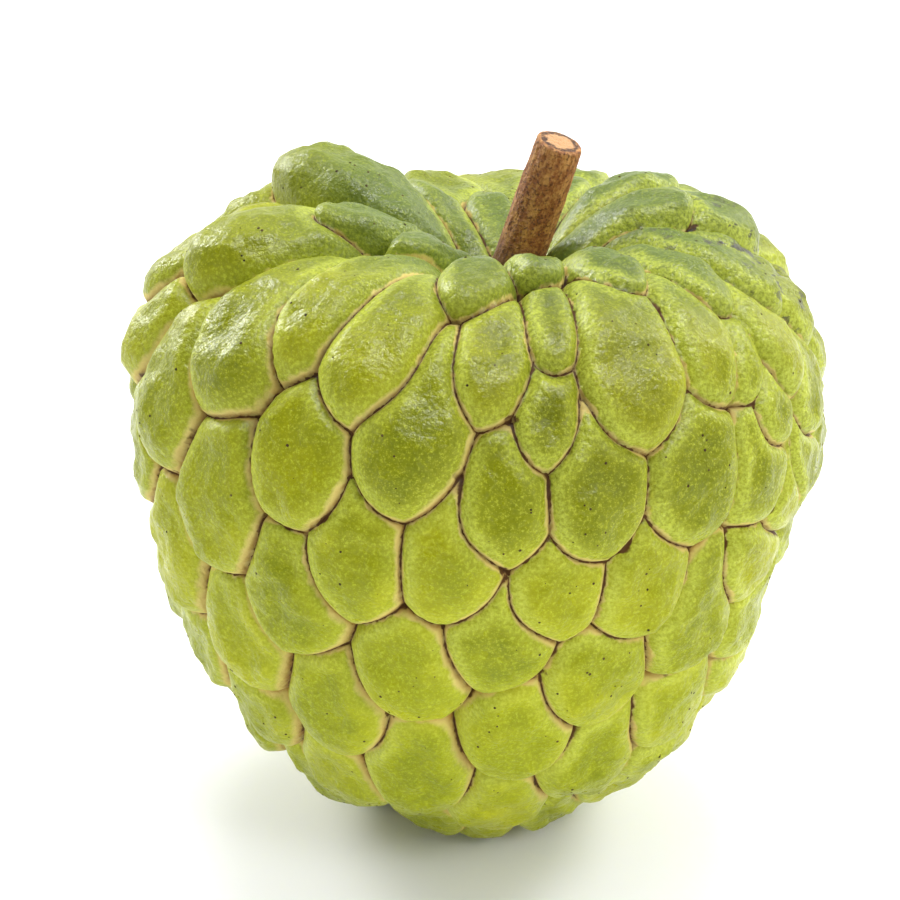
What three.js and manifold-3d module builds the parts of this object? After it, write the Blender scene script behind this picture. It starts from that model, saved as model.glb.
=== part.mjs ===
// A custard apple (sugar apple) standing on a small flat spot under its tip.
// Millimetres, +Z up. The origin is the middle of the flat spot, and the front faces -Y.
//
// Places on the fruit are given by two angles in degrees, seen from the middle of the body:
// "down" counts from the stem end (0) to the tip (180), and "turn" counts round the fruit
// from the front (0) towards +X (90).

import * as THREE from 'three';
import { mergeVertices } from 'three/addons/utils/BufferGeometryUtils.js';
import Module from 'manifold-3d';

// ---- Driving dimensions -------------------------------------------------------------------

// Body: a ball whose radius follows a short cosine series from the stem end to the tip.
const BODY_RADIUS = 43.84;
const OUTLINE_WAVES = [0.0134, -0.0088, -0.0985, -0.0447, -0.0157];
const CENTRE_HEIGHT = 44.7;
const FLAT_SPOT_HEIGHT = 0;

// Stem end: it leans towards +X, and sits in a shallow dimple.
const CROWN_LEAN = 9.5;
const DIMPLE_DEPTH = 6;
const DIMPLE_SPREAD = 17;

// Broad swells (rise above zero) and hollows (below zero) that make the body uneven.
const SWELLS = [
  { turn: -20, down: 36, rise: 0.8, spread: 18 },
  { turn: -78, down: 38, rise: 1, spread: 13 },
  { turn: -123, down: 24, rise: 3.1, spread: 18 },
  { turn: -140, down: 26, rise: 1.4, spread: 10 },
  { turn: -104, down: 50, rise: -2.4, spread: 14 },
  { turn: -84, down: 80, rise: -2, spread: 14 },
  { turn: 104, down: 28, rise: 2.4, spread: 12 },
  { turn: 126, down: 42, rise: -2, spread: 14 },
  { turn: 186, down: 30, rise: -7.4, spread: 22 },
  { turn: 84, down: 44, rise: -1.6, spread: 16 },
  { turn: 80, down: 108, rise: -1.4, spread: 24 },
  { turn: 34, down: 146, rise: -1.5, spread: 14 },
  { turn: -28, down: 150, rise: -1.4, spread: 14 },
  { turn: -66, down: 122, rise: -1, spread: 16 },
];

// Carpels: steep-sided domes that stand on the body. The upper end of each is drawn out longer
// than the rounded lower end and tapers, and the lower end laps over the next carpel down.
const CARPEL_WIDTH = 20;
const CARPEL_LENGTH = 23.5;
const CARPEL_DEPTH = 20;
const CARPEL_RISE = 4.8;
const CROWN_RISE = 0.8;
const CROWN_RISE_SPREAD = 38;
const UPPER_LENGTH = 1.3;
const UPPER_TAPER = 0.35;
const LOWER_LAP = 0.25;
const UPPER_LAP = 0.05;
const LAP_EASE = 3;
const DOME_POWER = 3.5;
const CREASE_SINK = 4.25;
const DEEPEST_CREASE = -2;
const NARROWING_AT_ENDS = 0.3;
const UNEVEN_TURN = 3;
const UNEVEN_DROP = 1.8;
const UNEVEN_SIZE = 0.08;
const TIER_END_ROOM = 0.62;

// Tiers of carpels from the stem end to the tip. Each has its distance down, how many carpels
// go round, and the ones set by eye: [turn, extra down, width, length], the last two as shares
// of a plain carpel. The others stand at the back in staggered rows, a little unevenly.
const TIERS = [
  {
    down: 20,
    round: 8,
    placed: [
      [-73, 6, 0.75, 0.9], [-46, 2, 0.55, 0.7], [3, 5, 0.6, 0.65], [92, -3, 0.75, 0.9],
      [130, 1, 0.8, 1.1], [158, -1, 0.6, 0.9], [193, 0, 0.6, 1], [212, 3, 0.6, 1.1],
    ],
  },
  {
    down: 31,
    round: 9,
    placed: [
      [-121, 0, 1, 1.45], [-13, 2, 0.7, 0.75], [7, 9, 0.62, 0.8], [27, -4, 0.65, 0.8],
      [49, 0, 0.65, 0.9], [68, -1, 0.7, 1.2], [99, -4, 0.85, 1], [130, 5, 1, 0.9],
      [163, 4, 0.9, 0.9], [200, 6, 1, 0.9],
    ],
  },
  {
    down: 44,
    round: 11,
    placed: [
      [-122, 10, 1, 1], [-84, 7, 0.9, 1.1], [-73, -4, 0.9, 1.25], [-38, -2, 0.85, 1.25],
      [-24, 2, 0.95, 1.2], [-4, 2, 0.8, 0.9], [22, -1, 1.05, 1.3], [38, -3, 0.85, 1.05],
      [61, -1, 0.8, 1.1], [80, -6, 0.8, 1.1],
    ],
  },
  {
    down: 54,
    round: 11,
    placed: [
      [-49, -4, 1, 1.3], [-14, 1, 1, 1.3], [7, -3, 0.75, 0.95], [47, -10, 0.7, 0.9],
      [53, -1, 0.8, 0.9], [68, 0, 1, 0.9],
    ],
  },
  {
    down: 63,
    round: 11,
    placed: [
      [-79, -3, 1, 1], [-30, 1, 1, 1], [2, 0, 0.95, 1.05], [16, -5, 1, 1.3], [33, -4, 1.1, 1.1],
      [49, -2, 1, 1], [63, 0, 1, 1], [82, 4, 1, 1],
    ],
  },
  {
    down: 74,
    round: 11,
    placed: [
      [-61, -10, 1, 1.1], [-45, 0, 1, 1.1], [-19, -1, 1, 1.15], [-5, -3, 1, 1.15], [12, 1, 1, 1],
      [26, 1, 1, 1.05], [51, 1, 1, 1], [57, -9, 1, 1],
    ],
  },
  {
    down: 85,
    round: 11,
    placed: [
      [-70, -10, 1, 1], [-30, -2, 1, 1.1], [4, -1, 1, 1.05], [40, -1, 1, 1.1],
    ],
  },
  {
    down: 94,
    round: 11,
    placed: [
      [-61, -7, 1, 1.15], [-43, 3, 1, 1], [-10, -1, 1, 1], [22, 0, 1, 1], [58, -3, 1, 1],
    ],
  },
  {
    down: 106,
    round: 11,
    placed: [
      [-84, -2, 1, 1], [-63, 1, 1, 1], [-25, 0, 1, 1], [10, 2, 1, 1], [43, 1, 1, 1],
      [60, -6, 1, 1],
    ],
  },
  {
    down: 117,
    round: 11,
    placed: [
      [-48, -3, 1, 1], [-11, 3, 1, 1.15], [27, 1, 1, 1.1], [46, 2, 1, 1],
    ],
  },
  { down: 129, round: 10, placed: [[-30, -1, 1, 1], [8, 5, 1, 1], [46, 6, 1, 1]] },
  { down: 141, round: 9, placed: [[-50, 0, 1, 1], [-16, 9, 1, 1], [34, 7, 1, 1]] },
  { down: 153, round: 7, placed: [[6, 2, 1, 1]] },
  { down: 165, round: 5, placed: [[20, 0, 1, 1]] },
  { down: 180, round: 1, placed: [[0, 0, 1, 1]] },
];

// Stem: a short woody peg, leaning towards +X and a little to the front, cut square at its end.
const STEM_LEAN = 19;
const STEM_TURN = 61;
const STEM_REACH = 18.7;
const STEM_ROOT_DEPTH = 6;
const STEM_ROOT_RADIUS = 3.2;
const STEM_END_RADIUS = 2.8;
const STEM_CHAMFER = 0.3;
const STEM_SIDES = 20;
const STEM_RINGS = 9;
const STEM_UNEVENNESS = 0.035;
const POCKET_GAP = 0.3;

// Fineness of the fruit's surface: how often each edge of the twenty-sided ball is split.
const SKIN_DETAIL = 15;
const NEAREST_CREASE = 0.15;

// ---- Body ---------------------------------------------------------------------------------

const radians = THREE.MathUtils.degToRad;

function directionAt(turn, down) {
  const side = Math.sin(radians(down));
  return new THREE.Vector3(
    side * Math.sin(radians(turn)),
    -side * Math.cos(radians(turn)),
    Math.cos(radians(down)),
  );
}

// The stem end leans, and the lean fades out towards the tip.
function carpelDirection(turn, down) {
  const lean = radians(CROWN_LEAN) * (0.5 + 0.5 * Math.cos(radians(down)));
  return directionAt(turn, down).applyAxisAngle(new THREE.Vector3(0, 1, 0), lean);
}

function swell(direction, centre, spread) {
  const away = direction.angleTo(centre) / radians(spread);
  return Math.exp(-away * away);
}

const CROWN = carpelDirection(0, 0);

// Distance from the middle of the body to its even outer surface, before the creases sink in.
function bodyRadius(direction) {
  const down = Math.acos(THREE.MathUtils.clamp(direction.z, -1, 1));
  let share = 1;
  OUTLINE_WAVES.forEach((wave, i) => {
    share += wave * Math.cos((i + 1) * down);
  });
  let radius = BODY_RADIUS * share - DIMPLE_DEPTH * swell(direction, CROWN, DIMPLE_SPREAD);
  for (const { turn, down: at, rise, spread } of SWELLS) {
    radius += rise * swell(direction, directionAt(turn, at), spread);
  }
  return radius;
}

function bodyPoint(direction) {
  return direction.clone().multiplyScalar(bodyRadius(direction));
}

// ---- Carpels ------------------------------------------------------------------------------

// One carpel: where it stands, which way its rounded end, its side and its top point, its size.
function makeCarpel(turn, down, width, length) {
  const direction = carpelDirection(turn, down);
  const centre = bodyPoint(direction);
  const endward = bodyPoint(carpelDirection(turn, down + 1)).sub(centre).normalize();
  const outward = direction.clone().addScaledVector(endward, -direction.dot(endward)).normalize();
  const sideways = new THREE.Vector3().crossVectors(outward, endward);
  const narrowing = 1 - NARROWING_AT_ENDS * (1 - Math.sin(radians(down)));
  const halfWidth = 0.5 * CARPEL_WIDTH * width * narrowing;
  const halfLength = 0.5 * CARPEL_LENGTH * length;
  const bulk = Math.sqrt(Math.min(halfLength, halfWidth) / (0.5 * CARPEL_WIDTH));
  const rise = CARPEL_RISE * bulk * (1 + CROWN_RISE * Math.exp(-((down / CROWN_RISE_SPREAD) ** 2)));
  return { centre, endward, outward, sideways, halfWidth, halfLength, rise };
}

function layCarpels() {
  const carpels = [];
  TIERS.forEach(({ down, round, placed }, tier) => {
    for (const [turn, extra, width, length] of placed) {
      carpels.push(makeCarpel(turn, down + extra, width, length));
    }
    const pitch = 360 / round;
    const clear = TIER_END_ROOM * pitch;
    const from = placed[placed.length - 1][0] + clear;
    const to = placed[0][0] + 360 - clear;
    const stagger = tier % 2 ? 0.5 : 0;
    for (let k = 0; k < round; k += 1) {
      const turn = 180 + pitch * (k - Math.floor(round / 2) + stagger);
      if (turn > from && turn < to) {
        const sway = UNEVEN_TURN * Math.sin(2.1 * k + 1.7 * tier);
        const drop = UNEVEN_DROP * Math.sin(3.3 * k + 2.9 * tier);
        const size = 1 + UNEVEN_SIZE * Math.sin(4.7 * k + 1.3 * tier);
        carpels.push(makeCarpel(turn + sway, down + drop, size, 1));
      }
    }
  });
  return carpels;
}

// Height of a carpel's dome over a point of the body's even surface.
function domeHeight(carpel, point) {
  const offset = point.clone().sub(carpel.centre);
  const along = offset.dot(carpel.endward);
  const across = offset.dot(carpel.sideways);
  const through = offset.dot(carpel.outward);
  const upper = along < 0;
  const reach = upper ? UPPER_LENGTH * carpel.halfLength : carpel.halfLength;
  const drawnIn = upper ? UPPER_TAPER * Math.min(1, -along / reach) ** 1.5 : 0;
  const side = across / (carpel.halfWidth * (1 - drawnIn));
  const away = Math.hypot(along / reach, side, through / (0.5 * CARPEL_DEPTH));
  const lowerAlong = 0.5 * (along + Math.hypot(along, LAP_EASE) - LAP_EASE);
  const lap = UPPER_LAP * along + (LOWER_LAP - UPPER_LAP) * lowerAlong;
  return carpel.rise * (1 - away ** DOME_POWER) + lap;
}

// The carpel that stands highest over a direction shows there.
function topCarpel(carpels, direction) {
  const point = bodyPoint(direction);
  let best = 0;
  let height = -Infinity;
  carpels.forEach((carpel, i) => {
    const own = domeHeight(carpel, point);
    if (own > height) {
      best = i;
      height = own;
    }
  });
  return { carpel: best, height };
}

function skinPoint(direction, height) {
  const radius = bodyRadius(direction) - CREASE_SINK + Math.max(height, DEEPEST_CREASE);
  const point = direction.clone().multiplyScalar(radius);
  point.z = Math.max(point.z + CENTRE_HEIGHT, FLAT_SPOT_HEIGHT);
  return point;
}

// ---- Fruit --------------------------------------------------------------------------------

// A ball of even triangles. Where an edge runs from one carpel to another it is split at the
// crease, so that every crease is a line of edges.
function fruitGeometry() {
  const ball = new THREE.IcosahedronGeometry(1, SKIN_DETAIL);
  ball.deleteAttribute('normal');
  ball.deleteAttribute('uv');
  const merged = mergeVertices(ball);
  const carpels = layCarpels();
  const directions = [];
  const owners = [];
  const points = [];
  const faces = [];
  const creases = new Map();

  function addPoint(direction) {
    const top = topCarpel(carpels, direction);
    directions.push(direction);
    owners.push(top.carpel);
    points.push(skinPoint(direction, top.height));
    return points.length - 1;
  }

  function lead(direction, carpel, other) {
    const point = bodyPoint(direction);
    return domeHeight(carpels[carpel], point) - domeHeight(carpels[other], point);
  }

  function creasePoint(a, b) {
    const key = a < b ? `${a}_${b}` : `${b}_${a}`;
    if (!creases.has(key)) {
      const before = lead(directions[a], owners[a], owners[b]);
      const after = lead(directions[b], owners[a], owners[b]);
      const share = THREE.MathUtils.clamp(before / (before - after), NEAREST_CREASE, 1 - NEAREST_CREASE);
      creases.set(key, addPoint(directions[a].clone().lerp(directions[b], share).normalize()));
    }
    return creases.get(key);
  }

  function splitFace(a, b, c) {
    if (owners[a] === owners[b] && owners[b] === owners[c]) {
      faces.push(a, b, c);
    } else if (owners[b] === owners[c]) {
      const ab = creasePoint(a, b);
      const ca = creasePoint(c, a);
      faces.push(a, ab, ca, ab, b, c, ab, c, ca);
    } else if (owners[a] === owners[c]) {
      splitFace(b, c, a);
    } else if (owners[a] === owners[b]) {
      splitFace(c, a, b);
    } else {
      const middle = directions[a].clone().add(directions[b]).add(directions[c]).normalize();
      const m = addPoint(middle);
      const ring = [a, creasePoint(a, b), b, creasePoint(b, c), c, creasePoint(c, a)];
      ring.forEach((corner, i) => {
        faces.push(corner, ring[(i + 1) % ring.length], m);
      });
    }
  }

  const corner = merged.getAttribute('position');
  for (let i = 0; i < corner.count; i += 1) {
    addPoint(new THREE.Vector3().fromBufferAttribute(corner, i).normalize());
  }
  const index = merged.getIndex();
  for (let i = 0; i < index.count; i += 3) {
    splitFace(index.getX(i), index.getX(i + 1), index.getX(i + 2));
  }
  return indexedGeometry(points, faces);
}

function indexedGeometry(points, faces) {
  const geometry = new THREE.BufferGeometry().setFromPoints(points);
  geometry.setIndex(faces);
  return geometry;
}

// ---- Stem ---------------------------------------------------------------------------------

// The peg stands on its own axis here: z = 0 where it leaves the fruit. "grow" makes it larger
// all round, for the pocket that it stands in.
function stemGeometry(grow) {
  const top = STEM_REACH + grow;
  const bottom = -STEM_ROOT_DEPTH - grow;
  const levels = [];
  for (let i = 0; i <= STEM_RINGS; i += 1) {
    const share = i / STEM_RINGS;
    const z = bottom + (top - STEM_CHAMFER - bottom) * share;
    levels.push({ z, radius: THREE.MathUtils.lerp(STEM_ROOT_RADIUS, STEM_END_RADIUS, share) + grow });
  }
  levels.push({ z: top, radius: STEM_END_RADIUS - STEM_CHAMFER + grow });
  const points = [];
  const faces = [];
  for (const { z, radius } of levels) {
    for (let k = 0; k < STEM_SIDES; k += 1) {
      const angle = (2 * Math.PI * k) / STEM_SIDES;
      const uneven = 1 + STEM_UNEVENNESS * Math.sin(2 * angle + 0.12 * z);
      const reach = radius * uneven;
      points.push(new THREE.Vector3(reach * Math.cos(angle), reach * Math.sin(angle), z));
    }
  }
  for (let level = 0; level < levels.length - 1; level += 1) {
    for (let k = 0; k < STEM_SIDES; k += 1) {
      const a = level * STEM_SIDES + k;
      const b = level * STEM_SIDES + ((k + 1) % STEM_SIDES);
      faces.push(a, b, b + STEM_SIDES, a, b + STEM_SIDES, a + STEM_SIDES);
    }
  }
  closeEnd(points, faces, 0, bottom, false);
  closeEnd(points, faces, (levels.length - 1) * STEM_SIDES, top, true);
  return placeStem(indexedGeometry(points, faces));
}

function closeEnd(points, faces, first, z, upward) {
  const middle = points.push(new THREE.Vector3(0, 0, z)) - 1;
  for (let k = 0; k < STEM_SIDES; k += 1) {
    const a = first + k;
    const b = first + ((k + 1) % STEM_SIDES);
    faces.push(...(upward ? [a, b, middle] : [b, a, middle]));
  }
}

function placeStem(geometry) {
  const axis = directionAt(STEM_TURN, STEM_LEAN);
  const up = new THREE.Vector3(0, 0, 1);
  geometry.applyQuaternion(new THREE.Quaternion().setFromUnitVectors(up, axis));
  const root = bodyPoint(CROWN);
  geometry.translate(root.x, root.y, root.z + CENTRE_HEIGHT);
  return geometry;
}

// ---- Cutting the stem's pocket -------------------------------------------------------------

const wasm = await Module();
wasm.setup();

function toSolid(geometry) {
  return new wasm.Manifold(new wasm.Mesh({
    numProp: 3,
    vertProperties: new Float32Array(geometry.getAttribute('position').array),
    triVerts: new Uint32Array(geometry.getIndex().array),
  }));
}

function toGeometry(solid) {
  const { vertProperties, triVerts } = solid.getMesh();
  const geometry = new THREE.BufferGeometry();
  geometry.setAttribute('position', new THREE.BufferAttribute(vertProperties, 3));
  geometry.setIndex(new THREE.BufferAttribute(triVerts, 1));
  return geometry;
}

// ---- Named pieces -------------------------------------------------------------------------

function piece(name, geometry, material) {
  geometry.computeVertexNormals();
  const mesh = new THREE.Mesh(geometry, material);
  mesh.name = name;
  return mesh;
}

const skin = new THREE.MeshStandardMaterial({ color: 0x9bb43a, roughness: 0.5, metalness: 0 });
const wood = new THREE.MeshStandardMaterial({ color: 0x7a4b2b, roughness: 0.85, metalness: 0 });

const custardApple = new THREE.Group();
const pocketed = toSolid(fruitGeometry()).subtract(toSolid(stemGeometry(POCKET_GAP)));
custardApple.add(piece('fruit', toGeometry(pocketed), skin));
custardApple.add(piece('stem', stemGeometry(0), wood));

export default custardApple;
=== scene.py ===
"""A custard apple on a pale studio floor: the fruit's carpels, the specks on its skin and its stem."""

from math import cos, pi, radians, sin

import bpy
import numpy as np
from bpy.props import FloatProperty, FloatVectorProperty, IntProperty, PointerProperty
from bpy.types import Operator, Panel, PropertyGroup
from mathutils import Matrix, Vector
from mathutils.kdtree import KDTree


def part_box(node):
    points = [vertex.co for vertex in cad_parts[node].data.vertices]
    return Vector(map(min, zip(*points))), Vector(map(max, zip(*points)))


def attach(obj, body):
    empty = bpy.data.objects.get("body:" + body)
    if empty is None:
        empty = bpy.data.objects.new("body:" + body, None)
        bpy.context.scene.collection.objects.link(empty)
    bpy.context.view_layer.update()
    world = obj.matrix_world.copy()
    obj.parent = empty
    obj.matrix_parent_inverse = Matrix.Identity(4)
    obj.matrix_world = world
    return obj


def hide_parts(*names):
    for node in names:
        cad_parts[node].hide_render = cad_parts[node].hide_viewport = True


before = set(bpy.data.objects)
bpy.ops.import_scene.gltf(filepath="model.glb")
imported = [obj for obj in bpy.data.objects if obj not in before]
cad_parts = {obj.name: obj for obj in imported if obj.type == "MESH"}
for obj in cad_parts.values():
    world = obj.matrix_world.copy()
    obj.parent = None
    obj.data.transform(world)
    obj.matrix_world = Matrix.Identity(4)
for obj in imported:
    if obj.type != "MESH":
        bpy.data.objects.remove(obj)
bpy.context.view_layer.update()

bl_info = {
    "name": "Custard Apple",
    "version": (1, 0, 0),
    "blender": (4, 5, 0),
    "location": "3D View > Sidebar > Custard Apple",
    "description": "Builds a custard apple with lapping carpels, a woody stem and a studio stage",
    "category": "Add Mesh",
}

# ---- Sizes taken from the frame -----------------------------------------------------------

FRUIT_LOW, FRUIT_HIGH = (Vector(corner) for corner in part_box("fruit"))

# The shape below is laid out in the source's millimetres, for a fruit this wide.
FRUIT_WIDTH_MM = 89.591
MM = (FRUIT_HIGH.x - FRUIT_LOW.x) / FRUIT_WIDTH_MM

# ---- Shape of the body --------------------------------------------------------------------
# Places on the fruit are two angles in degrees seen from the middle of the body: "down" from
# the stem end (0) to the tip (180), and "turn" round the fruit from the front (0) to +X (90).

BODY_RADIUS = 43.84
OUTLINE_WAVES = (0.0134, -0.0088, -0.0985, -0.0447, -0.0157)
CENTRE_HEIGHT = 44.7
CROWN_LEAN = 9.5
DIMPLE_DEPTH = 6.0
DIMPLE_SPREAD = 17.0

# Broad swells and hollows that make the body uneven: turn, down, rise, spread.
SWELLS = (
    (-20.0, 36.0, 0.8, 18.0),
    (-78.0, 38.0, 1.0, 13.0),
    (-123.0, 24.0, 3.1, 18.0),
    (-140.0, 26.0, 1.4, 10.0),
    (-104.0, 50.0, -2.4, 14.0),
    (-84.0, 80.0, -2.0, 14.0),
    (104.0, 28.0, 2.4, 12.0),
    (126.0, 42.0, -2.0, 14.0),
    (186.0, 30.0, -7.4, 22.0),
    (84.0, 44.0, -1.6, 16.0),
    (80.0, 108.0, -1.4, 24.0),
    (34.0, 146.0, -1.5, 14.0),
    (-28.0, 150.0, -1.4, 14.0),
    (-66.0, 122.0, -1.0, 16.0),
)

# ---- Shape of the carpels -----------------------------------------------------------------

CARPEL_WIDTH = 20.0
CARPEL_LENGTH = 23.5
CARPEL_DEPTH = 20.0
CROWN_RISE = 0.8
CROWN_RISE_SPREAD = 38.0
UPPER_LENGTH = 1.3
UPPER_TAPER = 0.35
LOWER_LAP = 0.25
UPPER_LAP = 0.05
LAP_EASE = 3.0
DOME_POWER = 3.5
CREASE_SINK = 4.25
DEEPEST_CREASE = -2.0
NARROWING_AT_ENDS = 0.3
UNEVEN_TURN = 3.0
UNEVEN_DROP = 1.8
UNEVEN_SIZE = 0.08
TIER_END_ROOM = 0.62
NEAREST_CREASE = 0.1

# A carpel's banks change from their upper to their lower width over this stretch of its length,
# in shares of its lower half.
ROUNDED_FROM = -0.3
ROUNDED_OVER = 1.1
SHOULDER_REACH = 9.0
SHOULDER_SETTLING = 0.56
PIT_WIDTH = 0.7

# Waves that run from one corner or carpel to the next: a corner has a pit where its wave stands
# above the level, and each carpel takes its tone from its own.
PIT_STEP = 17.0
PIT_LEVEL = 0.15
TONE_STEP = 12.9
TONE_RANGE = 0.25

# Places on the crown in millimetres: the middle of the painted shade in front of the stem, and where it is
# scuffed.
CROWN_FRONT = (10, -32, 76)
SCUFFED_SHOULDER = (30, -4, 75)

# Tiers from the stem end to the tip: distance down, carpels round the tier, and the carpels
# listed one by one as (turn, extra down, width, length), the last two as shares of a plain carpel.
TIERS = (
    (20, 8, (
        (-73, 6, 0.75, 0.9), (-46, 2, 0.55, 0.7), (3, 5, 0.6, 0.65), (92, -3, 0.75, 0.9),
        (130, 1, 0.8, 1.1), (158, -1, 0.6, 0.9), (193, 0, 0.6, 1), (212, 3, 0.6, 1.1),
    )),
    (31, 9, (
        (-121, 0, 1, 1.45), (-13, 2, 0.7, 0.75), (7, 9, 0.62, 0.8), (27, -4, 0.65, 0.8),
        (49, 0, 0.65, 0.9), (68, -1, 0.7, 1.2), (99, -4, 0.85, 1), (130, 5, 1, 0.9),
        (163, 4, 0.9, 0.9), (200, 6, 1, 0.9),
    )),
    (44, 11, (
        (-122, 10, 1, 1), (-84, 7, 0.9, 1.1), (-73, -4, 0.9, 1.25), (-38, -2, 0.85, 1.25),
        (-24, 2, 0.95, 1.2), (-4, 2, 0.8, 0.9), (22, -1, 1.05, 1.3), (38, -3, 0.85, 1.05),
        (61, -1, 0.8, 1.1), (80, -6, 0.8, 1.1),
    )),
    (54, 11, (
        (-49, -4, 1, 1.3), (-14, 1, 1, 1.3), (7, -3, 0.75, 0.95), (47, -10, 0.7, 0.9),
        (53, -1, 0.8, 0.9), (68, 0, 1, 0.9),
    )),
    (63, 11, (
        (-79, -3, 1, 1), (-30, 1, 1, 1), (2, 0, 0.95, 1.05), (16, -5, 1, 1.3),
        (33, -4, 1.1, 1.1), (49, -2, 1, 1), (63, 0, 1, 1), (82, 4, 1, 1),
    )),
    (74, 11, (
        (-61, -10, 1, 1.1), (-45, 0, 1, 1.1), (-19, -1, 1, 1.15), (-5, -3, 1, 1.15),
        (12, 1, 1, 1), (26, 1, 1, 1.05), (51, 1, 1, 1), (57, -9, 1, 1),
    )),
    (85, 11, ((-70, -10, 1, 1), (-30, -2, 1, 1.1), (4, -1, 1, 1.05), (40, -1, 1, 1.1))),
    (94, 11, (
        (-61, -7, 1, 1.15), (-43, 3, 1, 1), (-10, -1, 1, 1), (22, 0, 1, 1), (58, -3, 1, 1),
    )),
    (106, 11, (
        (-84, -2, 1, 1), (-63, 1, 1, 1), (-25, 0, 1, 1), (10, 2, 1, 1), (43, 1, 1, 1),
        (60, -6, 1, 1),
    )),
    (117, 11, ((-48, -3, 1, 1), (-11, 3, 1, 1.15), (27, 1, 1, 1.1), (46, 2, 1, 1))),
    (129, 10, ((-30, -1, 1, 1), (8, 5, 1, 1), (46, 6, 1, 1))),
    (141, 9, ((-50, 0, 1, 1), (-16, 9, 1, 1), (34, 7, 1, 1))),
    (153, 7, ((6, 2, 1, 1),)),
    (165, 5, ((20, 0, 1, 1),)),
    (180, 1, ((0, 0, 1, 1),)),
)

# ---- Stem ---------------------------------------------------------------------------------

STEM_LEAN = 19.0
STEM_TURN = 61.0
STEM_REACH = 18.7
STEM_ROOT_DEPTH = 6.0
STEM_ROOT_RADIUS = 3.2
STEM_END_RADIUS = 2.8
STEM_END_RINGS = 24
STEM_UNEVENNESS = 0.035
STEM_WINDING = 0.12

# The stem's side from its root to its cut end and over the rim, as (height, radius).
STEM_PROFILE = (
    (-STEM_ROOT_DEPTH, STEM_ROOT_RADIUS),
    (0.0, 3.15),
    (STEM_REACH - 3.0, 2.85),
    (STEM_REACH - 0.35, STEM_END_RADIUS),
    (STEM_REACH - 0.1, STEM_END_RADIUS - 0.1),
    (STEM_REACH, STEM_END_RADIUS - 0.35),
)


def direction_at(turn, down):
    """Unit vectors for arrays of turn and down, in degrees."""
    turn = np.radians(turn)
    down = np.radians(down)
    side = np.sin(down)
    return np.stack([side * np.sin(turn), -side * np.cos(turn), np.cos(down) + 0 * turn], -1)


def carpel_direction(turn, down):
    """The stem end leans towards +X, and the lean fades out towards the tip."""
    turn = np.asarray(turn, float)
    down = np.asarray(down, float)
    x, y, z = np.moveaxis(direction_at(turn, down), -1, 0)
    lean = radians(CROWN_LEAN) * (0.5 + 0.5 * np.cos(np.radians(down)))
    return np.stack([
        x * np.cos(lean) + z * np.sin(lean),
        y,
        z * np.cos(lean) - x * np.sin(lean),
    ], -1)


def swell(directions, centre, spread):
    """A soft bump, one at the centre direction and fading over the spread in degrees."""
    away = np.arccos(np.clip(directions @ centre, -1, 1)) / radians(spread)
    return np.exp(-away * away)


CROWN = carpel_direction(0, 0)


def body_radius(directions):
    """Distance from the middle of the body to its even outer surface."""
    down = np.arccos(np.clip(directions[..., 2], -1, 1))
    share = 1 + sum(wave * np.cos((i + 1) * down) for i, wave in enumerate(OUTLINE_WAVES))
    radius = BODY_RADIUS * share - DIMPLE_DEPTH * swell(directions, CROWN, DIMPLE_SPREAD)
    for turn, at, rise, spread in SWELLS:
        radius = radius + rise * swell(directions, direction_at(turn, at), spread)
    return radius


def body_point(directions):
    return directions * body_radius(directions)[..., None]


def unit(vectors):
    return vectors / np.linalg.norm(vectors, axis=-1, keepdims=True)


class Carpels:
    """Every carpel's place, its own axes and its size, one row each."""

    def __init__(self, rise):
        places = np.array(list(self.lay()))
        turn, down, width, length = places.T
        direction = carpel_direction(turn, down)
        self.centre = body_point(direction)
        self.endward = unit(body_point(carpel_direction(turn, down + 1)) - self.centre)
        along = (direction * self.endward).sum(1, keepdims=True)
        self.outward = unit(direction - along * self.endward)
        self.sideways = np.cross(self.outward, self.endward)
        narrowing = 1 - NARROWING_AT_ENDS * (1 - np.sin(np.radians(down)))
        self.half_width = 0.5 * CARPEL_WIDTH * width * narrowing
        self.half_length = 0.5 * CARPEL_LENGTH * length
        bulk = np.sqrt(np.minimum(self.half_width, self.half_length) / (0.5 * CARPEL_WIDTH))
        self.rise = rise * bulk * (1 + CROWN_RISE * np.exp(-(down / CROWN_RISE_SPREAD) ** 2))
        self.count = len(places)

    @staticmethod
    def lay():
        """Yields the listed carpels, then the others of the tier in a staggered row at the back."""
        for tier, (down, around, placed) in enumerate(TIERS):
            for turn, extra, width, length in placed:
                yield turn, down + extra, width, length
            pitch = 360 / around
            first = placed[-1][0] + TIER_END_ROOM * pitch
            last = placed[0][0] + 360 - TIER_END_ROOM * pitch
            stagger = 0.5 if tier % 2 else 0
            for k in range(around):
                turn = 180 + pitch * (k - around // 2 + stagger)
                if first < turn < last:
                    yield (
                        turn + UNEVEN_TURN * sin(2.1 * k + 1.7 * tier),
                        down + UNEVEN_DROP * sin(3.3 * k + 2.9 * tier),
                        1 + UNEVEN_SIZE * sin(4.7 * k + 1.3 * tier),
                        1,
                    )

    def heights(self, points):
        """Height of every carpel's dome over every point of the even surface."""
        along, across, through = (
            points @ axis.T - (self.centre * axis).sum(1)
            for axis in (self.endward, self.sideways, self.outward)
        )
        reach = self.half_length * np.where(along < 0, UPPER_LENGTH, 1)
        drawn_in = UPPER_TAPER * np.clip(-along / reach, 0, 1) ** 1.5
        side = across / (self.half_width * (1 - drawn_in))
        away = np.sqrt((along / reach) ** 2 + side ** 2 + (through / (0.5 * CARPEL_DEPTH)) ** 2)
        lower_along = 0.5 * (along + np.hypot(along, LAP_EASE) - LAP_EASE)
        lap = UPPER_LAP * along + (LOWER_LAP - UPPER_LAP) * lower_along
        return self.rise * (1 - away ** DOME_POWER) + lap


# ---- Mesh of the skin ---------------------------------------------------------------------

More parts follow.
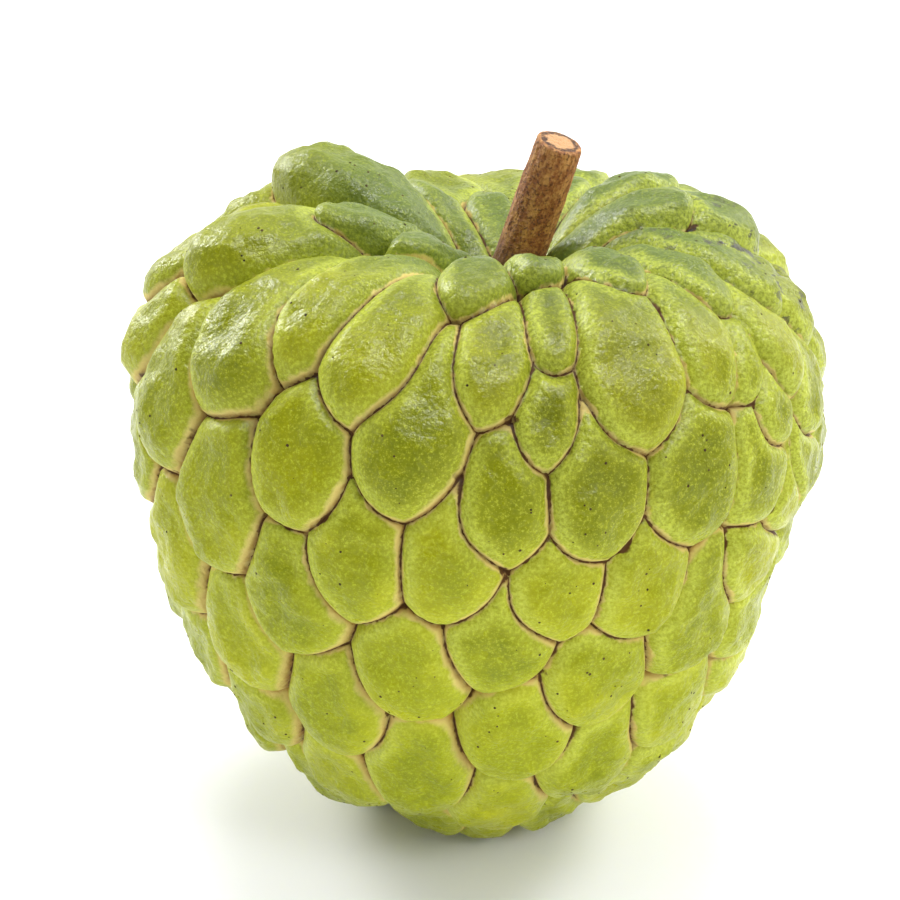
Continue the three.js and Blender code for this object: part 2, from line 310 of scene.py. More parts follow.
def even_ball(detail):
    """A ball of even triangles: each edge of a twenty-sided ball split into detail parts."""
    tall = (1 + 5 ** 0.5) / 2
    corners = unit(np.array([
        (-1, tall, 0), (1, tall, 0), (-1, -tall, 0), (1, -tall, 0),
        (0, -1, tall), (0, 1, tall), (0, -1, -tall), (0, 1, -tall),
        (tall, 0, -1), (tall, 0, 1), (-tall, 0, -1), (-tall, 0, 1),
    ]))
    sides = (
        (0, 11, 5), (0, 5, 1), (0, 1, 7), (0, 7, 10), (0, 10, 11),
        (1, 5, 9), (5, 11, 4), (11, 10, 2), (10, 7, 6), (7, 1, 8),
        (3, 9, 4), (3, 4, 2), (3, 2, 6), (3, 6, 8), (3, 8, 9),
        (4, 9, 5), (2, 4, 11), (6, 2, 10), (8, 6, 7), (9, 8, 1),
    )
    steps = [(i, j) for i in range(detail + 1) for j in range(detail + 1 - i)]
    number = {step: k for k, step in enumerate(steps)}
    share = np.array([(detail - i - j, i, j) for i, j in steps]) / detail
    patch = [(number[i, j], number[i + 1, j], number[i, j + 1]) for i, j in steps if i + j < detail]
    patch += [
        (number[i + 1, j], number[i + 1, j + 1], number[i, j + 1])
        for i, j in steps if i + j < detail - 1
    ]
    patch = np.array(patch)
    points = unit(np.concatenate([share @ corners[list(side)] for side in sides]))
    faces = np.concatenate([patch + k * len(steps) for k in range(len(sides))])
    _, first, same = np.unique(np.round(points * 1e6), axis=0, return_index=True, return_inverse=True)
    return points[first], same.reshape(-1)[faces]


class SkinMesh:
    """A ball of triangles whose edges follow the creases between the carpels."""

    def __init__(self, carpels, detail):
        self.carpels = carpels
        self.directions, faces = even_ball(detail)
        self.owners, self.heights = self.top_carpels(self.directions)
        self.crease_points = []
        self.junctions = []
        self.faces, self.face_owners = self.split_at_creases(faces)

    def top_carpels(self, directions, chunk=20000):
        """The carpel that stands highest over each direction, and its height there."""
        owners = []
        heights = []
        for start in range(0, len(directions), chunk):
            own = self.carpels.heights(body_point(directions[start:start + chunk]))
            owners.append(own.argmax(1))
            heights.append(own.max(1))
        return np.concatenate(owners), np.concatenate(heights)

    def add_points(self, directions):
        """Adds points and returns their numbers."""
        first = len(self.directions)
        owners, heights = self.top_carpels(directions)
        self.directions = np.concatenate([self.directions, directions])
        self.owners = np.concatenate([self.owners, owners])
        self.heights = np.concatenate([self.heights, heights])
        return np.arange(first, first + len(directions))

    def lead(self, points, a, b):
        """How far the carpel that owns point a stands over point b's, at each of the points."""
        heights = self.carpels.heights(body_point(self.directions[points]))
        row = np.arange(len(points))
        return heights[row, self.owners[a]] - heights[row, self.owners[b]]

    def crease_numbers(self, faces):
        """For each face, the number of the crease point on its edges ab, bc and ca, or -1."""
        pairs = np.sort(faces[:, [[0, 1], [1, 2], [2, 0]]].reshape(-1, 2), axis=1)
        edges, where = np.unique(pairs, axis=0, return_inverse=True)
        a, b = edges.T
        crossed = self.owners[a] != self.owners[b]
        a, b = a[crossed], b[crossed]
        before, after = self.lead(a, a, b), self.lead(b, a, b)
        share = np.clip(before / (before - after), NEAREST_CREASE, 1 - NEAREST_CREASE)[:, None]
        numbers = np.full(len(edges), -1)
        numbers[crossed] = self.add_points(
            unit(self.directions[a] * (1 - share) + self.directions[b] * share)
        )
        self.crease_points = numbers[crossed]
        return numbers[where.reshape(-1)].reshape(-1, 3)

    def split_at_creases(self, faces):
        """Splits every face that a crease runs through. Returns the faces and their carpels."""
        base = self.owners.copy()
        mid = self.crease_numbers(faces)
        own = base[faces]
        whole = (own[:, 0] == own[:, 1]) & (own[:, 1] == own[:, 2])
        result = [faces[whole]]
        owners = [own[whole, 0]]
        for k in range(3):
            a, b, c = (faces[:, (k + s) % 3] for s in range(3))
            ab, bc, ca = (mid[:, (k + s) % 3] for s in range(3))
            odd = ~whole & (own[:, (k + 1) % 3] == own[:, (k + 2) % 3])
            for corners, keeper in (((a, ab, ca), a), ((ab, b, c), b), ((ab, c, ca), b)):
                result.append(np.stack(corners, 1)[odd])
                owners.append(base[keeper[odd]])
        triple = (own[:, 0] != own[:, 1]) & (own[:, 1] != own[:, 2]) & (own[:, 2] != own[:, 0])
        corners = faces[triple]
        edges = mid[triple]
        centre = self.add_points(unit(self.directions[corners].sum(1)))
        self.junctions = centre
        for k in range(3):
            following = (k + 1) % 3
            result.append(np.stack([corners[:, k], edges[:, k], centre], 1))
            owners.append(base[corners[:, k]])
            result.append(np.stack([edges[:, k], corners[:, following], centre], 1))
            owners.append(base[corners[:, following]])
        return np.concatenate(result), np.concatenate(owners)

    def distances(self, seeds):
        """Distance in millimetres from every point to the nearest of the seed points."""
        even = body_point(self.directions)
        tree = KDTree(len(seeds))
        for k, point in enumerate(even[seeds]):
            tree.insert(point, k)
        tree.balance()
        return np.array([tree.find(point)[2] for point in even])

    def positions(self, extra):
        """Places in millimetres, with extra height added to the plain domes."""
        radius = body_radius(self.directions) - CREASE_SINK
        radius = radius + np.maximum(self.heights, DEEPEST_CREASE) + extra
        points = self.directions * radius[:, None]
        points[:, 2] = np.maximum(points[:, 2] + CENTRE_HEIGHT, 0)
        return points

    def places_on_carpel(self, points, owners):
        """How far each point lies along its carpel and across it, as shares of the carpel's halves."""
        carpels = self.carpels
        offset = body_point(self.directions[points]) - carpels.centre[owners]
        along = (offset * carpels.endward[owners]).sum(1) / carpels.half_length[owners]
        across = (offset * carpels.sideways[owners]).sum(1) / carpels.half_width[owners]
        return along, across

    def shoulders(self, crease, settings):
        """How far each carpel's sides swell out: steeply at its rounded end, gently at its upper end."""
        along = self.places_on_carpel(np.arange(len(self.owners)), self.owners)[0]
        rounded = np.clip((along - ROUNDED_FROM) / ROUNDED_OVER, 0, 1)
        side = settings.upper_side + (settings.lower_side - settings.upper_side) * rounded
        swelling = (1 - np.exp(-crease / side)) * np.exp(-crease / SHOULDER_REACH)
        return settings.fullness * (swelling - SHOULDER_SETTLING)


# ---- Node helpers -------------------------------------------------------------------------

class Nodes:
    """Short ways to add nodes to a tree and join them."""

    def __init__(self, tree):
        self.tree = tree

    def add(self, kind, settings=None, **inputs):
        node = self.tree.nodes.new(kind)
        for name, value in (settings or {}).items():
            setattr(node, name, value)
        for name, value in inputs.items():
            self.feed(node.inputs[name], value)
        return node

    def feed(self, socket, value):
        if isinstance(value, bpy.types.NodeSocket):
            self.tree.links.new(value, socket)
        else:
            socket.default_value = value

    def two_way(self, kind, operation, first, second):
        """A node that works on two values. Returns its outputs."""
        node = self.add(kind, {"operation": operation})
        self.feed(node.inputs[0], first)
        self.feed(node.inputs[1], second)
        return node.outputs

    def math(self, operation, first, second=0.0):
        return self.two_way("ShaderNodeMath", operation, first, second)[0]

    def total(self, first, *others):
        for other in others:
            first = self.math("ADD", first, other)
        return first

    def product(self, first, *others):
        for other in others:
            first = self.math("MULTIPLY", first, other)
        return first

    def centred(self, noise, size=1.0):
        """A noise that runs from 0 to 1, made to swing about zero with the given size."""
        return self.product(self.math("SUBTRACT", noise, 0.5), size)

    def distance(self, place, spot):
        """Distance from the place to a spot in the source's millimetres."""
        spot = tuple(Vector(spot) * MM)
        return self.two_way("ShaderNodeVectorMath", "DISTANCE", place, spot)["Value"]

    def ramp(self, value, low, high, start=0.0, end=1.0):
        """start where the value is low, end where it is high, and smooth between."""
        node = self.add("ShaderNodeMapRange", {"interpolation_type": "SMOOTHSTEP"})
        given = {"Value": value, "From Min": low, "From Max": high, "To Min": start, "To Max": end}
        for name, part in given.items():
            self.feed(node.inputs[name], part)
        return node.outputs[0]

    def noise(self, vector, size, detail=3.0, roughness=0.5):
        """Noise with bumps of about the given size in metres."""
        return self.add(
            "ShaderNodeTexNoise", Vector=vector, Scale=1 / size, Detail=detail, Roughness=roughness,
        ).outputs["Fac"]

    def cells(self, vector, size, feature="F1"):
        """Distances in a pattern of cells of about the given size in metres."""
        return self.add(
            "ShaderNodeTexVoronoi", {"feature": feature}, Vector=vector, Scale=1 / size,
        ).outputs["Distance"]


# ---- Settings -----------------------------------------------------------------------------

def colour_setting(name, description, default):
    return FloatVectorProperty(name=name, description=description, subtype="COLOR", default=default)


def millimetre_setting(name, description, default, lowest, highest):
    description += ", in millimetres"
    return FloatProperty(name=name, description=description, default=default, min=lowest, max=highest)


def length_setting(name, description, default):
    return FloatProperty(
        name=name, description=description, default=default, min=0, subtype="DISTANCE", unit="LENGTH",
    )


class FruitSettings(PropertyGroup):
    detail: IntProperty(
        name="Detail", description="How often each edge of the twenty-sided ball is split",
        default=84, min=8, max=90,
    )
    rise: millimetre_setting(
        "Carpel rise", "Height of a plain carpel's dome over its creases", 4.8, 0, 8,
    )
    fullness: millimetre_setting(
        "Fullness", "How far a carpel's sides swell beyond a plain dome", 1.3, 0, 3,
    )
    upper_side: millimetre_setting("Upper side", "Width of the bank at a carpel's upper end", 0.9, 0.1, 4)
    lower_side: millimetre_setting("Lower side", "Width of the bank at a carpel's rounded end", 0.4, 0.1, 4)
    pit_depth: millimetre_setting("Pit depth", "Depth of the pits where three carpels meet", 0.5, 0, 3)
    dents: length_setting("Dents", "Depth of the broad uneven dents of the skin", 0.0008)
    ripples: length_setting("Ripples", "Depth of the small ripples of the skin", 0.00012)


class SkinColours(PropertyGroup):
    fresh: colour_setting("Fresh green", "Most of the skin", (0.325, 0.355, 0.002))
    ripe: colour_setting("Ripe yellow", "Warm yellow patches", (0.42, 0.435, 0.003))
    deep: colour_setting("Deep green", "Patches on top of the carpels", (0.19, 0.225, 0.0005))
    shaded: colour_setting("Crown green", "Cooler green round the stem", (0.145, 0.215, 0.04))
    # The bloom colour also stands in for a painted highlight on the carpels' left-hand flanks.
    bloom_and_highlight: colour_setting("Bloom", "Pale frosted green near the edges", (0.48, 0.54, 0.07))
    grain: colour_setting("Grain", "Fine pale grains of the skin", (0.52, 0.56, 0.05))
    cork: colour_setting("Cork", "Cream margin along the creases", (0.66, 0.54, 0.17))
    rust: colour_setting("Rust", "Tan stain beside the seam", (0.36, 0.17, 0.035))
    # The seam colour also serves as painted shadow where the line widens under a carpel's rounded end.
    seam: colour_setting("Seam", "Dark line in the creases", (0.095, 0.042, 0.01))
    scuff: colour_setting("Scuff", "Grey rub marks on the shoulder", (0.05, 0.045, 0.04))


class SpeckSettings(PropertyGroup):
    density: FloatProperty(
        name="Density", description="Specks for each square metre of skin", default=140000, min=0,
    )
    radius: length_setting("Radius", "Radius of a plain speck", 0.00013)
    seed: IntProperty(name="Seed", description="Fixed seed of the scatter", default=7)
    tint: colour_setting("Tint", "Colour of the specks", (0.03, 0.018, 0.006))


class StemSettings(PropertyGroup):
    sides: IntProperty(name="Sides", description="Points round the stem", default=160, min=12)
    rings: IntProperty(name="Rings", description="Steps along the stem", default=220, min=8)
    grain: length_setting("Grain", "Depth of the bark's grain", 0.00022)
    bark: colour_setting("Bark", "Reddish-brown bark", (0.25, 0.08, 0.013))
    ridge: colour_setting("Ridge", "Pale tan ridges of the bark", (0.5, 0.24, 0.06))
    core: colour_setting("Cut end", "Pale wood of the cut end", (0.52, 0.28, 0.12))


class StudioSettings(PropertyGroup):
    elevation: FloatProperty(
        name="Elevation", description="Camera height above the horizon", default=radians(25),
        subtype="ANGLE", unit="ROTATION",
    )
    distance: length_setting("Distance", "Camera distance from the middle of the fruit", 0.3272)
    lens: FloatProperty(name="Lens", description="Focal length in millimetres", default=100)
    floor: colour_setting("Floor", "Colour of the floor", (0.915, 0.925, 0.98))


# ---- Materials ----------------------------------------------------------------------------

class Paint(Nodes):
    """The nodes of a new material, which end in a Principled shader."""

    def __init__(self, name):
        self.material = bpy.data.materials.new(name)
        self.material.use_nodes = True
        super().__init__(self.material.node_tree)

    def object_place(self):
        return self.add("ShaderNodeTexCoord").outputs["Object"]

    def attribute(self, name):
        return self.add("ShaderNodeAttribute", {"attribute_name": name}).outputs["Fac"]

    def mix(self, share, first, second, blend="MIX"):
        node = self.add("ShaderNodeMix", {"data_type": "RGBA", "blend_type": blend})
        self.feed(node.inputs[0], share)
        self.feed(node.inputs[6], first)
        self.feed(node.inputs[7], second)
        return node.outputs[2]

    def lay(self, base, share, tint):
        """The base with a share of the tint over it."""
        return self.mix(share, base, colour(tint))

    def shade(self, values):
        """Sets inputs of the shader by their names, and returns the material."""
        shader = self.tree.nodes["Principled BSDF"]
        for name, value in values.items():
            self.feed(shader.inputs[name], value)
        return self.material


def colour(values):
    return (*values, 1.0)


class SkinPaint(Paint):
    """What the skin's colours follow, and the steps that lay one colour over another."""

    def __init__(self, name, colours):
        super().__init__(name)
        self.colours = colours
        self.place = self.object_place()
        self.crease = self.attribute("crease_distance")
        self.pit = self.attribute("pit_distance")
        self.along = self.attribute("along_carpel")
        self.across = self.attribute("across_carpel")
        self.tone = self.attribute("carpel_tone")
        self.down = self.attribute("down_fruit")
        self.patchy = self.noise(self.place, 0.0024, 4.0, 0.6)
        self.grainy = self.noise(self.place, 0.00042, 3.0, 0.65)
        self.away_from_stem = self.ramp(self.down, 28.0, 62.0, 0.5, 1.0)
        self.uneven = self.total(self.crease, self.centred(self.patchy, 1.4))
        self.inward = self.math("DIVIDE", self.uneven, self.margin())
        self.cork = self.ramp(self.inward, 1.15, 0.4, 0.0, 0.9)
        self.dark = self.math("MAXIMUM", self.seam(), self.holes())

    def margin(self):
        """Width of the cork margin: widest at a carpel's upper corners and on its right-hand flank,
        and narrow all round near the stem."""
        flank = self.ramp(self.across, -0.2, 0.75, 0.3, 0.85)
        corner = self.product(
            self.ramp(self.pit, 3.0, 0.6, 0.0, 0.8), self.ramp(self.along, 0.1, -0.5),
        )
        lower_end = self.ramp(self.along, 0.3, 0.9, 0.0, 0.25)
        return self.product(
            self.total(flank, corner, lower_end),
            self.ramp(self.down, 38.0, 70.0, 0.45, 1.0),
            self.ramp(self.down, 75.0, 105.0, 1.0, 1.3),
        )

    def seam(self):
        """The ragged dark line in the creases: widest where the skin has split a little and at a
        carpel's upper end, where the extra width is painted shadow under the rounded end of the carpel
        above; fine near the stem."""
        thickness = self.product(
            self.ramp(self.noise(self.place, 0.0035, 3.0, 0.6), 0.4, 0.7, 0.07, 0.24),
            # Painted shadow: the line is wider at a carpel's upper end, under the carpel above.
            self.ramp(self.along, 0.7, -0.6, 0.5, 1.5),
            self.ramp(self.noise(self.place, 0.0075, 2.0), 0.6, 0.68, 1.0, 3.6),
            self.ramp(self.down, 40.0, 70.0, 0.55, 1.0),
        )
        jagged = self.total(self.crease, self.centred(self.noise(self.place, 0.0008, 2.0), 0.5))
        return self.ramp(self.math("DIVIDE", jagged, thickness), 1.3, 0.5)

    def holes(self):
        """Dark holes at some of the corners where carpels meet."""
        hole = self.ramp(self.total(self.pit, self.centred(self.patchy, 2.8)), 0.75, 0.4)
        return self.product(hole, self.ramp(self.noise(self.place, 0.011, 1.0), 0.5, 0.54))

    def green(self):
        """Green ground, from patches, from each carpel's own tone and from the way to the stem, with
        painted shade round the stem and painted light towards the tip.
        """
        mood = self.total(self.centred(self.noise(self.place, 0.009, 2.0), 1.6), self.tone)
        base = self.lay(colour(self.colours.fresh), self.ramp(mood, -0.05, 0.45), self.colours.ripe)
        deepness = self.product(
            self.ramp(self.uneven, 0.9, 4.0),
            self.ramp(self.patchy, 0.3, 0.7, 0.3, 0.8),
            self.away_from_stem,
            self.ramp(self.tone, -0.15, 0.2, 1.0, 0.4),
        )
        base = self.lay(base, deepness, self.colours.deep)
        base = self.lay(base, self.ramp(self.down, 50.0, 26.0, 0.0, 0.9), self.colours.shaded)
        # Darker round the stem and paler towards the tip: partly the skin's own tone, partly painted shade
        # on the crown and painted light from the floor on the lower carpels. The dark patch in the hollow
        # in front of the stem is painted shade.
        painted_shade_and_light = self.product(
            self.ramp(self.down, 48.0, 112.0, 0.68, 1.02),
            self.ramp(self.distance(self.place, CROWN_FRONT), 6 * MM, 24 * MM, 0.8, 1.0),
        )
        return self.mix(1.0, base, painted_shade_and_light, "MULTIPLY")

    def frosted(self, base):
        """Adds a pale frosted rim, partly real bloom and partly a painted highlight that is strongest on
        the left-hand flank and fainter on the right-hand flank, and pale grains all over.
        """
        # Real pale bloom plus a painted highlight: the rim is strongest on the left-hand flank, where the
        # light falls.
        rim_with_highlight = self.product(
            self.ramp(self.uneven, 2.8, 0.6),
            self.ramp(self.grainy, 0.32, 0.6, 0.3, 0.75),
            self.ramp(self.across, 0.45, -0.5, 0.35, 1.0),
        )
        base = self.lay(base, rim_with_highlight, self.colours.bloom_and_highlight)
        grains = self.total(
            self.ramp(self.grainy, 0.52, 0.68, 0.0, 0.35),
            self.ramp(self.cells(self.place, 0.0003), 0.36, 0.1, 0.0, 0.36),
        )
        base = self.lay(base, self.product(grains, self.away_from_stem), self.colours.grain)
        return self.mix(1.0, base, self.ramp(self.grainy, 0.3, 0.7, 0.9, 1.1), "MULTIPLY")

    def corky(self, base):
        """Adds cork along the creases with rust beside the seam, then painted shade close to the creases,
        then the dark seams, with their painted shadow, and the holes.
        """
        base = self.lay(base, self.cork, self.colours.cork)
        rust = self.product(
            self.ramp(self.inward, 0.6, 0.15), self.ramp(self.patchy, 0.35, 0.6, 0.25, 0.9),
        )
        base = self.lay(base, rust, self.colours.rust)
        # Painted shade: the colour darkens within 0.4 mm of each crease, where shade falls into it.
        base = self.mix(1.0, base, self.ramp(self.crease, 0.0, 0.4, 0.6, 1.0), "MULTIPLY")
        return self.lay(base, self.dark, self.colours.seam)

    def scuffed(self, base):
        """Adds grey scuffs on the shoulder where the stem leans."""
        rubbed = self.product(
            self.ramp(self.distance(self.place, SCUFFED_SHOULDER), 17 * MM, 8 * MM),
            self.ramp(self.noise(self.place, 0.0036, 5.0, 0.7), 0.56, 0.59),
            0.9,
        )
        return self.lay(base, rubbed, self.colours.scuff)

    def roughness(self):
        """Waxy on the open skin, dull on the cork and in the seams."""
        dull = self.product(self.math("MAXIMUM", self.cork, self.dark), 0.35)
        return self.total(self.ramp(self.patchy, 0.3, 0.7, 0.26, 0.4), dull)

    def bump(self):
        """Pimples and fine wrinkles."""
        wrinkles = self.cells(self.place, 0.0015, "DISTANCE_TO_EDGE")
        relief = self.total(
            self.product(self.grainy, 0.35),
            self.noise(self.place, 0.0012, 3.0, 0.6),
            self.ramp(wrinkles, 0.0, 0.3, 0.0, 0.12),
        )
        return self.add("ShaderNodeBump", Strength=0.75, Distance=0.0004, Height=relief).outputs[0]


def skin_material(colours):
    """Waxy green skin: olive on top of each carpel, paler towards its edges, cork along the creases."""
    paint = SkinPaint("Carpel skin", colours)
    return paint.shade({
        "Base Color": paint.scuffed(paint.corky(paint.frosted(paint.green()))),
        "Roughness": paint.roughness(),
        "Normal": paint.bump(),
        "Specular IOR Level": 0.17,
        "Subsurface Weight": 0.04,
        "Subsurface Radius": (0.0016, 0.0018, 0.0005),
        "Subsurface Scale": 1.0,
    })


def speck_material(tint):
    """Dry dark specks."""
    paint = Paint("Dry speck")
    shade = paint.noise(paint.object_place(), 0.004)
    lighter = [min(1.0, 3.0 * part) for part in tint]
    return paint.shade({
        "Base Color": paint.lay(colour(tint), paint.ramp(shade, 0.4, 0.65), lighter),
        "Roughness": 0.8,
        "Specular IOR Level": 0.1,
    })


def stem_lengthways(nodes, place, squeeze):
    """Places turned to the stem's own axis and squeezed along it, so that a pattern runs lengthways."""
    turned = nodes.add(
        "ShaderNodeVectorRotate", {"rotation_type": "EULER_XYZ", "invert": True},
        Vector=place, Rotation=tuple(stem_rotation().to_euler()),
    ).outputs[0]
    return nodes.two_way("ShaderNodeVectorMath", "MULTIPLY", turned, (1.0, 1.0, squeeze))[0]


def bark_material(settings):
    """Speckled bark with pale ridges, and a tan cut end inside a dark ring."""
    paint = Paint("Stem bark")
    place = paint.object_place()
    coarse = paint.noise(stem_lengthways(paint, place, 0.45), 0.0009, 4.0, 0.65)
    fine = paint.noise(place, 0.0004, 3.0, 0.7)
    darker = [0.25 * part for part in settings.bark]

    bark = paint.lay(colour(settings.bark), paint.ramp(coarse, 0.4, 0.66), settings.ridge)
    bark = paint.lay(bark, paint.ramp(fine, 0.47, 0.36, 0.0, 0.6), settings.ridge)
    bark = paint.lay(bark, paint.ramp(fine, 0.53, 0.62, 0.0, 0.8), darker)
    bark = paint.lay(bark, paint.ramp(paint.attribute("along_stem"), 0.35, 0.0, 0.0, 0.75), darker)

    outward = paint.total(paint.attribute("from_axis"), paint.centred(coarse, 0.7))
    cut = paint.lay(colour(settings.core), paint.ramp(outward, 0.56, 0.68), darker)
    cut = paint.lay(cut, paint.ramp(fine, 0.5, 0.66, 0.0, 0.5), settings.ridge)
    cut = paint.lay(cut, paint.ramp(outward, 0.84, 0.93), settings.ridge)

    relief = paint.total(fine, coarse)
    bump = paint.add("ShaderNodeBump", Strength=0.8, Distance=0.00025, Height=relief)
    return paint.shade({
        "Base Color": paint.mix(paint.attribute("cut_end"), bark, cut),
        "Roughness": 0.8,
        "Normal": bump.outputs[0],
    })


def plain_material(name, tint, roughness):
    return Paint(name).shade({"Base Color": colour(tint), "Roughness": roughness})


# ---- Geometry trees -----------------------------------------------------------------------

def new_geometry_tree(name, inputs):
    """A geometry tree with a mesh going in and out, and the named number inputs."""
    tree = bpy.data.node_groups.new(name, "GeometryNodeTree")
    tree.interface.new_socket("Geometry", in_out="INPUT", socket_type="NodeSocketGeometry")
    for title, value in inputs.items():
        kind = "NodeSocketInt" if isinstance(value, int) else "NodeSocketFloat"
        tree.interface.new_socket(title, in_out="INPUT", socket_type=kind).default_value = value
    tree.interface.new_socket("Geometry", in_out="OUTPUT", socket_type="NodeSocketGeometry")
    nodes = Nodes(tree)
    return tree, nodes, nodes.add("NodeGroupInput").outputs


def named_attribute(nodes, name):
    node = nodes.add("GeometryNodeInputNamedAttribute", {"data_type": "FLOAT"}, Name=name)
    return node.outputs["Attribute"]


def height_of(nodes, place):
    return nodes.add("ShaderNodeSeparateXYZ", Vector=place).outputs["Z"]


def pushed_out(nodes, geometry, push):
    """The geometry with every point moved along its normal."""
    normal = nodes.add("GeometryNodeInputNormal").outputs[0]
    offset = nodes.add("ShaderNodeVectorMath", {"operation": "SCALE"}, Vector=normal, Scale=push)
    return nodes.add("GeometryNodeSetPosition", Geometry=geometry, Offset=offset.outputs[0]).outputs[0]


def finish_geometry_tree(nodes, geometry, material):
    """Every tree ends by realizing its instances and setting its material."""
    solid = nodes.add("GeometryNodeRealizeInstances", Geometry=geometry)
    painted = nodes.add("GeometryNodeSetMaterial", Geometry=solid.outputs[0], Material=material)
    nodes.add("NodeGroupOutput", Geometry=painted.outputs[0])


def apply_tree(piece, tree, values):
    """Runs the tree on the piece with its inputs set, and keeps the result as a plain mesh."""
    modifier = piece.modifiers.new(tree.name, "NODES")
    modifier.node_group = tree
    for item in tree.interface.items_tree:
        if item.in_out == "INPUT" and item.name in values:
            modifier[item.identifier] = values[item.name]
    graph = bpy.context.evaluated_depsgraph_get()
    made = bpy.data.meshes.new_from_object(
        piece.evaluated_get(graph), preserve_all_data_layers=True, depsgraph=graph,
    )
    piece.modifiers.clear()
    piece.data = made
    made.name = piece.name


def skin_relief_tree(material):
    """Uneven dents and small ripples that fade out at the creases and down at the floor."""
    tree, nodes, given = new_geometry_tree("Skin relief", {"Dents": 0.0004, "Ripples": 0.0001})
    place = nodes.add("GeometryNodeInputPosition").outputs[0]
    dents = nodes.centred(nodes.noise(place, 0.0062, 2.0), nodes.product(given["Dents"], 4.0))
    ripples = nodes.centred(nodes.noise(place, 0.0016, 2.0), nodes.product(given["Ripples"], 4.0))
    open_skin = nodes.ramp(named_attribute(nodes, "crease_distance"), 0.3, 2.5)
    standing = nodes.ramp(height_of(nodes, place), 0.0, 2 * MM)
    push = nodes.product(nodes.total(dents, ripples), open_skin, standing)
    finish_geometry_tree(nodes, pushed_out(nodes, given["Geometry"], push), material)
    return tree


def speck_tree(material):
    """Small flat specks scattered over the open skin, in loose clusters."""
    tree, nodes, given = new_geometry_tree(
        "Skin specks", {"Density": 20000.0, "Radius": 0.00013, "Seed": 1},
    )
    place = nodes.add("GeometryNodeInputPosition").outputs[0]
    clusters = nodes.ramp(nodes.noise(place, 0.006, 2.0), 0.45, 0.66)
    open_skin = nodes.product(
        nodes.ramp(named_attribute(nodes, "crease_distance"), 0.8, 2.0),
        nodes.ramp(height_of(nodes, place), 1 * MM, 3 * MM),
    )
    scatter = nodes.add(
        "GeometryNodeDistributePointsOnFaces", Mesh=given["Geometry"],
        Density=nodes.product(clusters, open_skin, given["Density"]), Seed=given["Seed"],
    ).outputs
    bead = nodes.add("GeometryNodeMeshIcoSphere", Radius=1.0, Subdivisions=2)
    size = nodes.add("FunctionNodeRandomValue", {"data_type": "FLOAT"}, Seed=given["Seed"])
    nodes.feed(size.inputs[2], 0.45)
    nodes.feed(size.inputs[3], 1.5)
    girth = nodes.product(size.outputs[1], given["Radius"])
    shape = nodes.add("ShaderNodeCombineXYZ", X=girth, Y=girth, Z=nodes.product(girth, 0.45))
    specks = nodes.add(
        "GeometryNodeInstanceOnPoints", Points=scatter["Points"], Rotation=scatter["Rotation"],
        Instance=bead.outputs["Mesh"], Scale=shape.outputs[0],
    )
    finish_geometry_tree(nodes, specks.outputs[0], material)
    return tree


def stem_grain_tree(material):
    """Lengthways ridges and rough grain on the stem's bark and on its cut end."""
    tree, nodes, given = new_geometry_tree("Stem grain", {"Grain": 0.0002})
    place = nodes.add("GeometryNodeInputPosition").outputs[0]
    fibres = nodes.noise(stem_lengthways(nodes, place, 0.22), 0.0011, 3.0, 0.6)
    rough = nodes.noise(place, 0.0005, 3.0, 0.65)
    grain = nodes.total(nodes.centred(fibres, 2.2), nodes.centred(rough))
    push = nodes.product(grain, given["Grain"])
    finish_geometry_tree(nodes, pushed_out(nodes, given["Geometry"], push), material)
    return tree


# ---- Pieces -------------------------------------------------------------------------------

def mesh_from(name, points, faces):
    """A smooth mesh from points in the source's millimetres."""
    mesh = bpy.data.meshes.new(name)
    mesh.from_pydata((points * MM).tolist(), [], faces)
    mesh.polygons.foreach_set("use_smooth", [True] * len(mesh.polygons))
    mesh.update()
    return mesh


def add_attributes(mesh, domain, **attributes):
    for name, values in attributes.items():
        layer = mesh.attributes.new(name, "FLOAT", domain)
        layer.data.foreach_set("value", np.asarray(values, "f"))


def link(name, data):
    """Puts a mesh, a light or a camera into the scene."""
    piece = bpy.data.objects.new(name, data)
    bpy.context.scene.collection.objects.link(piece)
    return piece


def make_skin(settings):
    """The fruit's skin, with the attributes that its material and trees read."""
    carpels = Carpels(settings.rise)
    skin = SkinMesh(carpels, settings.detail)
    crease = skin.distances(np.concatenate([skin.crease_points, skin.junctions]))
    with_pit = np.sin(PIT_STEP * np.arange(len(skin.junctions))) > PIT_LEVEL
    pit = skin.distances(skin.junctions[with_pit])
    extra = skin.shoulders(crease, settings) - settings.pit_depth * np.exp(-(pit / PIT_WIDTH) ** 2)
    mesh = mesh_from("fruit_skin", skin.positions(extra), skin.faces.tolist())
    down = np.degrees(np.arccos(np.clip(skin.directions @ CROWN, -1, 1)))
    add_attributes(mesh, "POINT", crease_distance=crease, pit_distance=pit, down_fruit=down)
    corners = skin.faces.reshape(-1)
    along, across = skin.places_on_carpel(corners, np.repeat(skin.face_owners, 3))
    add_attributes(mesh, "CORNER", along_carpel=along, across_carpel=across)
    tone = TONE_RANGE * np.sin(TONE_STEP * np.arange(carpels.count))
    add_attributes(mesh, "FACE", carpel_tone=tone[skin.face_owners])
    return link("fruit_skin", mesh)


def stem_rotation():
    axis = Vector(direction_at(STEM_TURN, STEM_LEAN))
    return Vector((0, 0, 1)).rotation_difference(axis)


def stem_rings(count):
    """The stem's rings as (height, radius, 0 on the bark or 1 on the cut end), from root to end."""
    height, radius = np.array(STEM_PROFILE).T
    reach = np.linspace(-STEM_ROOT_DEPTH, STEM_REACH, count)
    rings = [(z, r, 0.0) for z, r in zip(reach, np.interp(reach, height, radius))]
    for k in range(1, STEM_END_RINGS):
        rings.append((STEM_REACH, STEM_PROFILE[-1][1] * (1 - k / STEM_END_RINGS), 1.0))
    return rings


